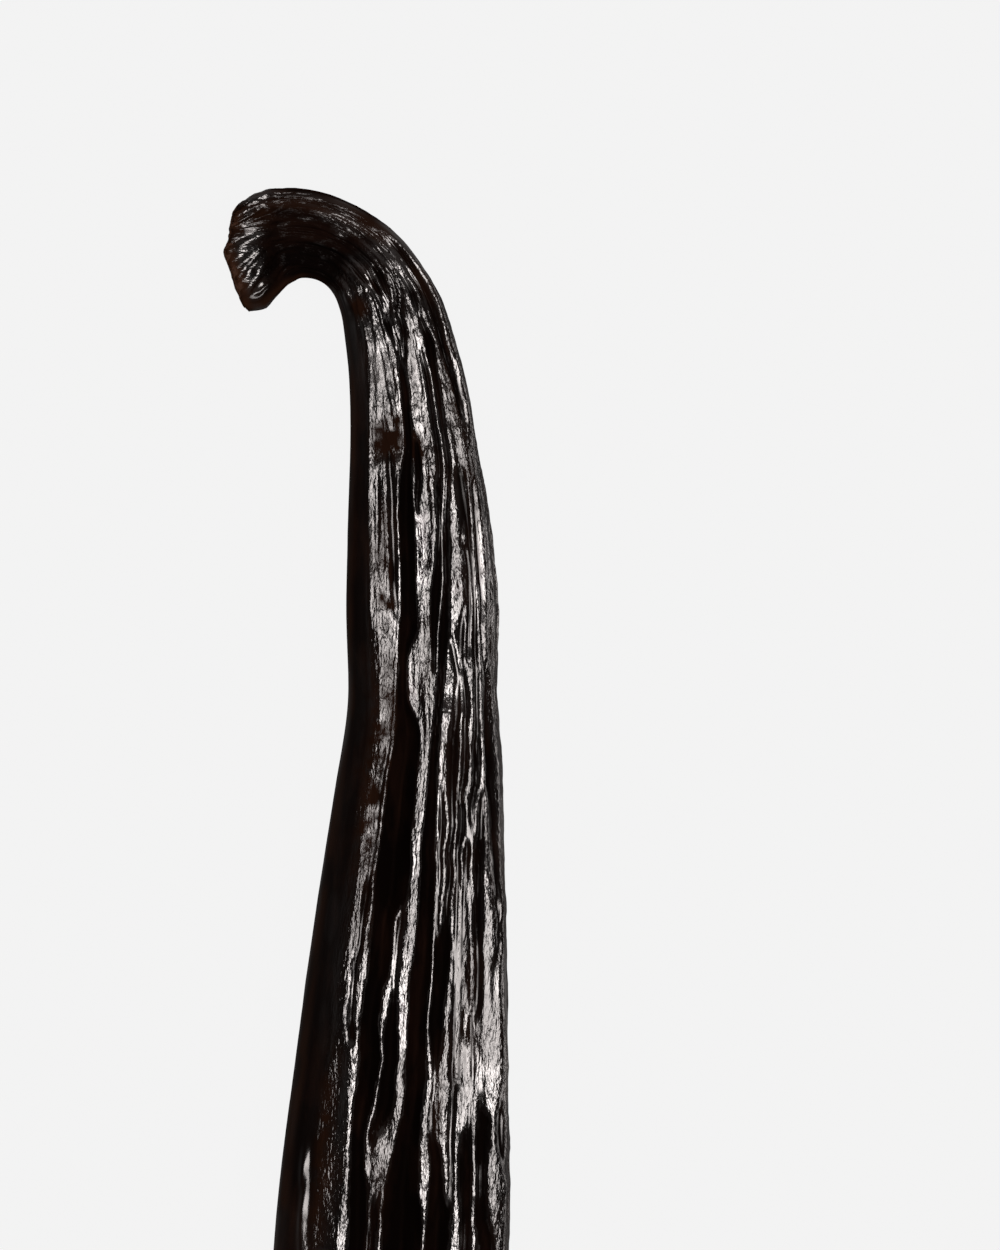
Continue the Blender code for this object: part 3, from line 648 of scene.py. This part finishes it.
@dataclass
class PodSkin:
    """The pod's whole skin: one closed sheet, folded and wrinkled."""

    shape: PodShape
    top_columns: int = 150
    under_columns: int = 50
    spacing: Curve = Curve((
        (0, 0.16), (8, 0.18), (30, 0.2), (49, 0.21), (60, 0.55), (150, 0.66), (168, 0.52), (178, 0.26),
    ))
    stem_rings: Pairs = ((0.0, 0.30), (0.30, 0.28), (0.60, 0.22), (0.85, 0.12), (0.95, 0.04))
    tip_rings: Pairs = ((0.92, 0.22), (0.72, 0.42), (0.42, 0.56), (0.0, 0.62))
    wavers: tuple[tuple[float, int, int, float], ...] = (
        (3.2, 20, 31, 0.012), (1.1, 44, 33, 0.010), (0.45, 90, 35, 0.006), (0.26, 130, 37, 0.003),
    )
    small_fold_count: int = 90
    flank_gap: float = 0.13
    slant: float = 0.24
    seed: int = 11

    def turns(self) -> np.ndarray:
        """Spaces the columns, closer together on the upper side.

        Returns:
            Their angles round the section in radians, as one row.
        """
        quarter = self.under_columns // 2
        left = np.linspace(-180.0, -90.0, quarter, endpoint=False)
        top = np.linspace(-90.0, 90.0, self.top_columns, endpoint=False)
        right = np.linspace(90.0, 180.0, self.under_columns - quarter + 1)
        return np.radians(np.concatenate([left, top, right]))[None, :]

    def distances(self) -> np.ndarray:
        """Spaces the rings, closer together towards the stem end.

        Returns:
            Their distances from the rim to the tip, as one column.
        """
        rings = [0.0]
        while rings[-1] < self.shape.length:
            rings.append(rings[-1] + float(self.spacing.at(np.array(rings[-1]))))
        return (np.array(rings) * self.shape.length / rings[-1])[:, None]

    def sheet(self) -> Sheet:
        """Lays out the unbent skin.

        Returns:
            Its points.
        """
        distance, turn = self.distances(), self.turns()
        across, up = self.shape.section(distance, turn)
        width = np.where(np.sin(turn) > 0, self.shape.outer.at(distance), self.shape.inner.at(distance))
        side = across / width
        side = np.where(up < 0, np.sign(turn) * (2 - np.abs(side)), side)
        reach = (self.shape.outer.at(distance) + self.shape.inner.at(distance)) / 2
        return Sheet(distance, turn, side, reach)

    def folds(self, sheet: Sheet) -> tuple[np.ndarray, np.ndarray]:
        """Presses every furrow in, the deepest winning where they meet.

        Args:
            sheet: The unbent skin.

        Returns:
            The folds' depth at every point, and how far each point is on a fold's lip.
        """
        waver = np.zeros_like(sheet.side)
        for cell, count, step, swing in self.wavers:
            waver = waver + sheet.noise(cell, count, self.seed + step) * swing
        wavy = Sheet(sheet.distance, sheet.turn, sheet.side + waver, sheet.reach)
        depth = np.zeros_like(sheet.side)
        lips = np.zeros_like(sheet.side)
        for furrow in FURROWS + self.small_folds():
            deep, near = furrow.measure(wavy)
            depth = np.maximum(depth, deep)
            lips = np.maximum(lips, near)
        return depth, lips * ease(1 - depth / 0.05)

    def small_folds(self) -> tuple[Furrow, ...]:
        """Draws short folds at random, where the long ones leave the skin plain.

        Returns:
            The folds, all clear of the flanks, where they would be stretched up the steep skin.
        """
        rng = np.random.default_rng(self.seed)
        folds = []
        for _ in range(self.small_fold_count):
            start = rng.uniform(44.0, 160.0)
            end = min(start + rng.uniform(8.0, 34.0), 173.0)
            side = rng.uniform(-1.9, 1.9)
            half = rng.uniform(0.010, 0.030)
            drift = rng.uniform(-0.08, 0.08)
            middle = side + drift / 2
            if min(abs(abs(place) - 1.0) for place in (side, middle, side + drift)) < self.flank_gap:
                continue
            route = (
                (start, side - half, side + half),
                ((start + end) / 2, middle - half * 1.5, middle + half * 1.5),
                (end, side + drift - half, side + drift + half),
            )
            folds.append(Furrow(route, fade=2.0))
        return tuple(folds)

    def wrinkled_share(self, sheet: Sheet, depth: np.ndarray) -> np.ndarray:
        """Says how wrinkled the skin is: less on the flank inside the hook, and not in the folds.

        Args:
            sheet: The unbent skin.
            depth: How deep the folds are.

        Returns:
            The share of the crinkle that each point has.
        """
        top = ease((sheet.side + 0.75) / 0.10)
        under = ease((-1.0 - sheet.side) / 0.20)
        rough = 0.12 + 0.88 * np.maximum(top, under)
        for patch in SMOOTH:
            rough = rough * (1 - 0.75 * np.minimum(patch.relief(sheet), 1.0))
        return rough * (1 - ease((depth - 0.02) / 0.12))

    def wrinkles(self, sheet: Sheet, calm: np.ndarray) -> np.ndarray:
        """Makes the skin's crinkle: long fine ridges, crossed by short ones.

        Args:
            sheet: The unbent skin.
            calm: The share of it that each point has.

        Returns:
            Its height at every point.
        """
        body = ease(sheet.distance / 14.0)
        long = sheet.noise(5.0, 30, self.seed + 3, drift=1.2) * 0.05
        ridges = 0.04 - np.abs(sheet.noise(3.4, 58, self.seed + 5, drift=1.2)) * 0.07
        streaks = sheet.noise(2.0, 88, self.seed + 13, drift=1.4) * 0.040
        fine = streaks + sheet.noise(1.2, 150, self.seed + 7, drift=1.4) * 0.026
        cross = sheet.noise(0.46, 60, self.seed + 9, drift=0.8) * 0.016
        creases = np.full_like(cross, 0.35)
        for patch in CREASED:
            creases = np.maximum(creases, np.minimum(patch.relief(sheet), 1.0))
        creases = creases * (0.02 - np.abs(sheet.noise(0.20, 34, self.seed + 15, drift=1.4)) * 0.07)
        crinkle = (ridges + fine + cross) * calm * (0.45 + 0.55 * body)
        return long * (0.3 + 0.7 * calm) + crinkle + creases * calm

    def stem_ridges(self, sheet: Sheet) -> np.ndarray:
        """Makes the ridges that fan out over the flared end and run on round the hook.

        Args:
            sheet: The unbent skin.

        Returns:
            Their height at every point.
        """
        flare = 1 - ease((sheet.distance - 1.3) / 1.3)
        hook = ease((sheet.distance - 1.2) / 1.6) * (1 - ease((sheet.distance - 5.5) / 4.0))
        inside = 1 - 0.9 * ease(1.9 - np.abs(np.abs(sheet.side) - 1) / 0.10)
        slanted = Sheet(sheet.distance, sheet.turn - self.slant * sheet.distance, sheet.side, sheet.reach)
        fan = 0.12 - np.abs(slanted.noise(2.4, 56, self.seed + 22, drift=0.9)) * 0.36
        fan = fan - np.abs(slanted.noise(1.1, 124, self.seed + 29, drift=1.2)) * 0.16
        crinkle = slanted.noise(0.30, 74, self.seed + 25, drift=0.8) * 0.055
        cord = 0.05 - np.abs(sheet.noise(4.4, 72, self.seed + 23, drift=0.7)) * 0.13
        beads = sheet.noise(0.42, 84, self.seed + 27, drift=0.6) * 0.026
        return ((fan + crinkle) * flare + (cord + beads) * hook) * inside

    def brown_and_flank_light_share(self, sheet: Sheet) -> np.ndarray:
        """Says where the skin is brown: at the rim and on the hook's outer side; low on the flanks it is a
        lighter brown that is painted light.

        Args:
            sheet: The unbent skin.

        Returns:
            How brown each point is, painted flank light included, from 0 to 1.
        """
        rim = 1 - ease((sheet.distance - 0.15) / 0.45)
        hook = 1 - ease((sheet.distance - 5.0) / 5.0)
        outer = ease((np.abs(sheet.side - 0.80) * -1 + 0.34) / 0.16) * hook
        # Painted light: the lighter brown low on both flanks makes up for the little light that reaches
        # them there.
        flank = np.maximum(ease((-0.86 - sheet.side) / 0.12), ease((sheet.side - 0.97) / 0.06))
        patchy = ease((sheet.noise(1.2, 26, self.seed + 41, drift=1.0) + 0.5) / 0.9)
        return np.maximum(np.maximum(rim, outer * 0.4), flank * 0.6) * (0.25 + 0.75 * patchy)

    def oiliness(self, sheet: Sheet, depth: np.ndarray, brown_and_flank_light: np.ndarray) -> np.ndarray:
        """Spreads the oil: none on the dry hook and in the folds, less where the skin is brown.

        Args:
            sheet: The unbent skin.
            depth: How deep the folds are.
            brown_and_flank_light: How brown the skin is, painted flank light included.

        Returns:
            How oily each point is, from 0 to 1.
        """
        dry = ease((sheet.distance - 0.9) / 0.5) * (1 - ease((sheet.distance - 4.4) / 0.9))
        rim = 1 - ease((sheet.distance - 0.10) / 0.40)
        inner = ease((-0.76 - sheet.side) / 0.14) * (1 - ease((-1.02 - sheet.side) / 0.10))
        inner = inner * (0.2 + 0.55 * (1 - ease((sheet.distance - 46.0) / 6.0)))
        flank = ease((np.abs(sheet.side) - 0.95) / 0.08)
        oil = (1 - 0.7 * brown_and_flank_light * (1 - flank)) * (1 - 0.9 * rim) * (1 - 0.985 * dry) * (1 - inner)
        for patch in SHINY:
            oil = np.maximum(oil, np.minimum(patch.relief(sheet), 1.0))
        oil = oil * (1 - ease((depth - 0.06) / 0.12) * (1 - 0.6 * flank))
        wet = ease((sheet.noise(2.2, 44, self.seed + 51, drift=1.0) + 0.05) / 0.45)
        return oil * (0.55 + 0.45 * wet)

    def shine(self, sheet: Sheet) -> np.ndarray:
        """Dulls the dry patches, whose edges are broken.

        Args:
            sheet: The unbent skin.

        Returns:
            The share of its shine that each point keeps.
        """
        broken = 1 + 0.7 * sheet.noise(0.32, 84, self.seed + 53, drift=0.6)
        shine = np.ones_like(sheet.side)
        for patch in DULL:
            shine = shine * (1 - np.clip(patch.relief(sheet) * broken, 0.0, 1.0))
        return shine

    def build(self) -> bpy.types.Object:
        """Models the skin.

        Returns:
            The skin's object.
        """
        sheet = self.sheet()
        depth, lips = self.folds(sheet)
        calm = self.wrinkled_share(sheet, depth)
        crinkle = self.wrinkles(sheet, calm * (1 - 0.6 * lips))
        height = crinkle + self.stem_ridges(sheet) - depth + lips * 0.02
        for dent in DENTS:
            height = height - dent.relief(sheet)
        # The brown mask also carries painted light: a lighter brown low on the flanks.
        brown_and_flank_light, shine = self.brown_and_flank_light_share(sheet), self.shine(sheet)
        oil = self.oiliness(sheet, depth, brown_and_flank_light) * shine
        brown_and_flank_light = np.maximum(brown_and_flank_light, 0.35 * (1 - shine) * calm)
        across, up = self.shape.section(sheet.distance, sheet.turn)
        straight = np.stack([across, up, np.broadcast_to(sheet.distance, across.shape)], axis=-1)
        across, up = self.raised(across, up, height)
        ahead = self.shape.rim.at(across[:1]) + sheet.noise(8.0, 60, self.seed + 43)[:1] * 0.05
        placed = sheet.distance - ahead * (1 - ease(sheet.distance / 3.2))
        start = self.stem_end(across[0], up[0])
        end = self.tip_end(across[-1], up[-1])
        points = np.concatenate([start, bend(self.shape, placed, across, up), end])
        points = points + np.array(self.shape.offset())
        points[..., 2] = np.maximum(points[..., 2], 0.0)
        piece = rolled_sheet("pod_skin", points)
        layers = {Layer.STRAIGHT: straight, Layer.GRAIN: calm, Layer.OIL: oil, Layer.BROWN_AND_FLANK_LIGHT: brown_and_flank_light}
        for layer, values in layers.items():
            values = np.concatenate([values[:1]] * len(start) + [values] + [values[-1:]] * len(end))
            add_layer(piece, layer, values)
        weld_and_smooth(piece)
        return piece

    def raised(
        self, across: np.ndarray, up: np.ndarray, height: np.ndarray
    ) -> tuple[np.ndarray, np.ndarray]:
        """Moves the sections' points out along their normals.

        Args:
            across: How far each point is across from the spine.
            up: How far each point is above the spine.
            height: How far each point moves.

        Returns:
            The moved points' across and up.
        """
        da = np.gradient(across, axis=1)
        du = np.gradient(up, axis=1)
        for slope, values in ((da, across), (du, up)):
            ends = values[:, 1] - values[:, -2]
            slope[:, 0] = ends / 2
            slope[:, -1] = ends / 2
        length = np.maximum(np.hypot(da, du), 1e-9)
        return across - du / length * height, up + da / length * height

    def stem_end(self, across: np.ndarray, up: np.ndarray) -> np.ndarray:
        """Closes the stem end behind its rim, with rings that shrink to a point.

        Args:
            across: The first section's across.
            up: The first section's up.

        Returns:
            The rings' points, from the middle out.
        """
        rings = []
        for share, recess in self.stem_rings:
            distance = recess - self.shape.rim.at(across * share)
            rings.append(bend(self.shape, distance, across * share, up * share))
        return np.stack(rings)

    def tip_end(self, across: np.ndarray, up: np.ndarray) -> np.ndarray:
        """Closes the tip with rings that shrink to a point.

        Args:
            across: The last section's across.
            up: The last section's up.

        Returns:
            The rings' points, from the last section on.
        """
        rings = []
        for share, ahead in self.tip_rings:
            distance = np.full_like(across, self.shape.length + ahead)
            rings.append(bend(self.shape, distance, across * share, up * share))
        return np.stack(rings)

    def dress(self, piece: bpy.types.Object) -> None:
        """Gives the skin its finish and its place in the frame.

        Args:
            piece: The skin's object.
        """
        piece.data.materials.append(SkinFinish().material())
        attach(piece, BODY)
        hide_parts(NODE)


@dataclass
class StemScar:
    """The dry, fibrous face where the pod was cut from its stalk."""

    shape: PodShape
    columns: int = 120
    rings: int = 26
    share: float = 0.95
    proud: float = 0.06
    depth: float = 0.5
    seed: int = 41

    def build(self) -> bpy.types.Object:
        """Models the scar as a thin plate with radiating fibres and a torn edge.

        Returns:
            The scar's object.
        """
        turn = np.radians(np.linspace(-180.0, 180.0, self.columns + 1))[None, :]
        out = np.linspace(0.0, 1.0, self.rings + 1)[:, None]
        sheet = Sheet(out * 4.0, turn, np.broadcast_to(out, (self.rings + 1, self.columns + 1)), out)
        across, up = self.shape.section(np.zeros_like(out), turn)
        edge = 1 + 0.02 * sheet.noise(9.0, 50, self.seed + 8)
        across, up = across * out * self.share * edge, up * out * self.share * edge
        fibres = sheet.noise(2.0, 42, self.seed, drift=0.5) * 0.08
        fibres = fibres + sheet.noise(0.5, 90, self.seed + 4) * 0.04
        proud = self.proud + fibres * ease((1 - out) * 6 + 0.2) * ease(out * 5)
        front = bend(self.shape, -self.shape.rim.at(across) - proud, across, up)
        back = bend(self.shape, -self.shape.rim.at(across) + self.depth * (1 - 0.5 * out), across, up)
        points = np.concatenate([front, back[::-1]]) + np.array(self.shape.offset())
        piece = rolled_sheet("stem_scar", points)
        weld_and_smooth(piece)
        return piece

    def dress(self, piece: bpy.types.Object) -> None:
        """Gives the scar its finish and its place in the frame.

        Args:
            piece: The scar's object.
        """
        piece.data.materials.append(ScarFinish().material())
        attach(piece, BODY)


# --- Finishes ------------------------------------------------------------------------------------


def feed(tree: bpy.types.NodeTree, node: bpy.types.Node, inputs: dict[str | int, Given]) -> None:
    """Fills a shader node's inputs.

    Args:
        tree: The tree the node is in.
        node: The node.
        inputs: By name or number, a value to set or another node's output to link.
    """
    for name, given in inputs.items():
        if isinstance(given, bpy.types.NodeSocket):
            tree.links.new(given, node.inputs[name])
        else:
            node.inputs[name].default_value = given


def add_node(
    tree: bpy.types.NodeTree, kind: str, inputs: dict[str | int, Given] | None = None, **settings: object
) -> bpy.types.Node:
    """Adds a shader node.

    Args:
        tree: The tree it goes into.
        kind: The node's type.
        inputs: What feeds its inputs, by name or number.
        settings: Its properties by name.

    Returns:
        The node.
    """
    node = tree.nodes.new(kind)
    for name, value in settings.items():
        setattr(node, name, value)
    feed(tree, node, inputs or {})
    return node


def blend(
    tree: bpy.types.NodeTree, first: Given, second: Given, share: bpy.types.NodeSocket
) -> bpy.types.NodeSocket:
    """Mixes two colours.

    Args:
        tree: The tree it happens in.
        first: The colour where the share is 0.
        second: The colour where the share is 1.
        share: How much of the second colour there is.

    Returns:
        The mixed colour.
    """
    inputs = {"A": first, "B": second, "Factor": share}
    return add_node(tree, "ShaderNodeMix", inputs, data_type="RGBA").outputs["Result"]


def grain_group() -> bpy.types.NodeTree:
    """Builds the fine crinkle that all of the pod's surfaces share.

    Returns:
        A group from a place on the straightened pod, in millimetres, to a height and a mottle.
    """
    tree = bpy.data.node_groups.get("skin_grain")
    if tree:
        return tree
    tree = bpy.data.node_groups.new("skin_grain", "ShaderNodeTree")
    tree.interface.new_socket("Place", in_out="INPUT", socket_type="NodeSocketVector")
    for name, default in (("Fineness", 1.0), ("Stretch", 0.28)):
        socket = tree.interface.new_socket(name, in_out="INPUT", socket_type="NodeSocketFloat")
        socket.default_value = default
    for name in ("Height", "Mottle"):
        tree.interface.new_socket(name, in_out="OUTPUT", socket_type="NodeSocketFloat")
    entry, leave = tree.nodes.new("NodeGroupInput"), tree.nodes.new("NodeGroupOutput")
    parts = add_node(tree, "ShaderNodeSeparateXYZ", {0: entry.outputs["Place"]})
    stretched = {0: parts.outputs["Z"], 1: entry.outputs["Stretch"]}
    along = add_node(tree, "ShaderNodeMath", stretched, operation="MULTIPLY")
    joined = add_node(tree, "ShaderNodeCombineXYZ", {
        "X": parts.outputs["X"], "Y": parts.outputs["Y"], "Z": along.outputs[0],
    })
    sized = {0: joined.outputs[0], "Scale": entry.outputs["Fineness"]}
    place = add_node(tree, "ShaderNodeVectorMath", sized, operation="SCALE").outputs[0]
    crinkle = add_node(tree, "ShaderNodeTexNoise", {
        "Vector": place, "Scale": 9.0, "Detail": 2.0, "Roughness": 0.55, "Distortion": 0.2,
    }, noise_dimensions="3D")
    patches = add_node(tree, "ShaderNodeTexNoise", {
        "Vector": place, "Scale": 0.9, "Detail": 4.0, "Roughness": 0.6,
    }, noise_dimensions="3D")
    feed(tree, leave, {"Height": crinkle.outputs["Fac"], "Mottle": patches.outputs["Fac"]})
    return tree


@dataclass(frozen=True)
class SkinFinish:
    """Oily, almost black brown skin, browner on the hook, with a lighter brown low on the flanks that is
    painted light.
    """

    dark: Colour = (0.0009, 0.0005, 0.0004, 1.0)
    brown: Colour = (0.0032, 0.0014, 0.0009, 1.0)
    # The brown of the rim and the hook, also laid low on the flanks as painted light.
    rust: Colour = (0.0100, 0.0040, 0.0021, 1.0)
    patches: tuple[float, float] = (0.46, 0.72)
    roughness: tuple[float, float] = (0.34, 0.50)
    oil_roughness: float = 0.21
    oil_index: float = 1.5
    bump_height: float = 0.00005

    def material(self) -> bpy.types.Material:
        """Builds the material.

        Returns:
            The skin's material.
        """
        material = bpy.data.materials.new("cured_skin")
        material.use_nodes = True
        tree = material.node_tree
        place, brown_and_flank_light, oil, calm = (
            add_node(tree, "ShaderNodeAttribute", attribute_name=layer.value)
            for layer in (Layer.STRAIGHT, Layer.BROWN_AND_FLANK_LIGHT, Layer.OIL, Layer.GRAIN)
        )
        straight = {"Place": place.outputs["Vector"]}
        grain = add_node(tree, "ShaderNodeGroup", straight, node_tree=grain_group())
        patch = add_node(tree, "ShaderNodeMapRange", {
            "Value": grain.outputs["Mottle"], "From Min": self.patches[0], "From Max": self.patches[1],
        })
        base = blend(tree, self.dark, self.brown, patch.outputs["Result"])
        rough = add_node(tree, "ShaderNodeMapRange", {
            "Value": grain.outputs["Mottle"], "To Min": self.roughness[0], "To Max": self.roughness[1],
        })
        bump = add_node(tree, "ShaderNodeBump", {
            "Distance": self.bump_height,
            "Strength": calm.outputs["Fac"],
            "Height": grain.outputs["Height"],
        })
        feed(tree, tree.nodes["Principled BSDF"], {
            # The brown mask mixes in the rust colour, and with it the painted light low on the flanks.
            "Base Color": blend(tree, base, self.rust, brown_and_flank_light.outputs["Fac"]),
            "Roughness": rough.outputs["Result"],
            "Specular IOR Level": 0.0,
            "Coat Weight": oil.outputs["Fac"],
            "Coat Roughness": self.oil_roughness,
            "Coat IOR": self.oil_index,
            "Normal": bump.outputs["Normal"],
            "Coat Normal": bump.outputs["Normal"],
        })
        return material


@dataclass(frozen=True)
class ScarFinish:
    """Dry brown fibres of the cut stalk."""

    dark: Colour = (0.006, 0.003, 0.002, 1.0)
    light: Colour = (0.020, 0.008, 0.004, 1.0)
    roughness: float = 0.62
    gloss: float = 0.03
    bump_height: float = 0.00008

    def material(self) -> bpy.types.Material:
        """Builds the material.

        Returns:
            The scar's material.
        """
        material = bpy.data.materials.new("stem_scar_fibre")
        material.use_nodes = True
        tree = material.node_tree
        place = add_node(tree, "ShaderNodeTexCoord")
        in_mm = {0: place.outputs["Object"], "Scale": 1 / MM}
        scaled = add_node(tree, "ShaderNodeVectorMath", in_mm, operation="SCALE")
        even = {"Place": scaled.outputs[0], "Stretch": 1.0}
        grain = add_node(tree, "ShaderNodeGroup", even, node_tree=grain_group())
        height = grain.outputs["Height"]
        bump = add_node(tree, "ShaderNodeBump", {"Distance": self.bump_height, "Height": height})
        feed(tree, tree.nodes["Principled BSDF"], {
            "Base Color": blend(tree, self.dark, self.light, height),
            "Roughness": self.roughness,
            "Specular IOR Level": self.gloss,
            "Normal": bump.outputs["Normal"],
        })
        return material


# --- The studio ----------------------------------------------------------------------------------


@dataclass(frozen=True)
class Lamp:
    """A soft rectangular light.

    Attributes:
        name: Its name.
        place: Its middle, in metres.
        aim: The point it faces.
        size: Its width and length.
        power: Its power in watts.
    """

    name: str
    place: tuple[float, float, float]
    aim: tuple[float, float, float]
    size: tuple[float, float]
    power: float

    def hang(self, colour: tuple[float, float, float]) -> None:
        """Hangs the light.

        Args:
            colour: The colour it gives.
        """
        deselect_all()
        place = Vector(self.place)
        turn = (Vector(self.aim) - place).to_track_quat("-Z", "Y").to_euler()
        bpy.ops.object.light_add(type="AREA", location=place, rotation=turn)
        lamp = bpy.context.object
        lamp.name = self.name
        lamp.data.shape = "RECTANGLE"
        lamp.data.size, lamp.data.size_y = self.size
        lamp.data.energy = self.power
        lamp.data.color = colour


@dataclass
class Studio:
    """A glowing pale table, a wide soft light overhead, a dim one to the side, and the camera."""

    shape: PodShape
    view_height: float = 52.08
    view_from_rim: tuple[float, float] = (10.625, -16.29)
    focus_height: float = 0.003
    lens: float = 180.0
    sensor: float = 36.0
    nearest: float = 0.01
    floor_size: float = 4.0
    floor_gap: float = 0.00005
    floor_colour: Colour = (0.004, 0.004, 0.004, 1.0)
    floor_glow: float = 0.885
    white: Colour = (1.0, 1.0, 1.0, 1.0)
    backdrop: Colour = (0.9, 0.9, 0.9, 1.0)
    ceiling: float = 0.025
    table_glow: float = 0.24
    table_reach: tuple[float, float] = (0.5, 0.0)
    end_glow: float = 0.60
    end_reach: tuple[float, float] = (0.40, 0.80)
    light_colour: tuple[float, float, float] = (1.0, 0.93, 0.905)
    lamps: tuple[Lamp, ...] = (
        Lamp("overhead_light", (0.038, 0.074, 0.32), (0.0, 0.074, 0.0), (0.116, 0.22), 3.0),
        Lamp("side_light", (0.30, 0.06, -0.09), (0.0, 0.06, -0.09), (0.50, 0.08), 1.0),
    )

    def floor(self) -> None:
        """Lays the pale table under the pod."""
        deselect_all()
        bpy.ops.mesh.primitive_plane_add(size=self.floor_size, location=(0.0, 0.0, -self.floor_gap))
        floor = bpy.context.object
        floor.name = "floor"
        material = bpy.data.materials.new("pale_table")
        material.use_nodes = True
        feed(material.node_tree, material.node_tree.nodes["Principled BSDF"], {
            "Base Color": self.floor_colour,
            "Roughness": 1.0,
            "Specular IOR Level": 0.0,
            "Emission Color": self.white,
            "Emission Strength": self.floor_glow,
        })
        floor.data.materials.append(material)
        floor.visible_glossy = False

    def tinted(self, level: float) -> Colour:
        """A grey of that level in the light's colour."""
        return (*(level * part for part in self.light_colour), 1.0)

    def world(self) -> None:
        """Surrounds the scene with grey: dim above, paler at the table and the ends, pale to the camera."""
        scene = bpy.context.scene
        scene.world = scene.world or bpy.data.worlds.new("studio")
        scene.world.use_nodes = True
        tree = scene.world.node_tree
        direction = add_node(tree, "ShaderNodeTexCoord")
        parts = add_node(tree, "ShaderNodeSeparateXYZ", {"Vector": direction.outputs["Generated"]})
        along = add_node(tree, "ShaderNodeMath", {0: parts.outputs["Y"]}, operation="ABSOLUTE")
        glow = self.tinted(self.ceiling)
        for part, (start, end), level in (
            (parts.outputs["Z"], self.table_reach, self.table_glow),
            (along.outputs["Value"], self.end_reach, self.end_glow),
        ):
            spread = {"Value": part, "From Min": start, "From Max": end}
            share = add_node(tree, "ShaderNodeMapRange", spread)
            glow = blend(tree, glow, self.tinted(level), share.outputs["Result"])
        path = add_node(tree, "ShaderNodeLightPath")
        seen = blend(tree, glow, self.backdrop, path.outputs["Is Camera Ray"])
        feed(tree, tree.nodes["Background"], {"Color": seen})
        scene.view_settings.view_transform = "Standard"

    def camera(self) -> None:
        """Sets the camera straight over the hooked end, looking down."""
        offset = self.shape.offset()
        x = (offset.x + self.view_from_rim[0]) * MM
        y = (offset.y + self.view_from_rim[1]) * MM
        rise = self.view_height / self.sensor * self.lens * MM
        deselect_all()
        bpy.ops.object.camera_add(location=(x, y, rise + self.focus_height), rotation=(0.0, 0.0, 0.0))
        camera = bpy.context.object
        camera.name = "camera"
        camera.data.lens = self.lens
        camera.data.sensor_width = self.sensor
        camera.data.clip_start = self.nearest
        bpy.context.scene.camera = camera

    def build(self) -> None:
        """Sets the whole studio up."""
        self.floor()
        for lamp in self.lamps:
            lamp.hang(self.light_colour)
        self.world()
        self.camera()


def main() -> None:
    """Builds the studio and the pod's pieces."""
    logging.basicConfig(level=logging.INFO, format="%(name)s: %(message)s")
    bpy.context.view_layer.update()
    shape = PodShape()
    Studio(shape).build()
    log.info("studio: set up")
    for maker in (PodSkin(shape), StemScar(shape)):
        piece = maker.build()
        maker.dress(piece)
        log.info("%s: %d faces", piece.name, len(piece.data.polygons))


if __name__ == "__main__":
    main()
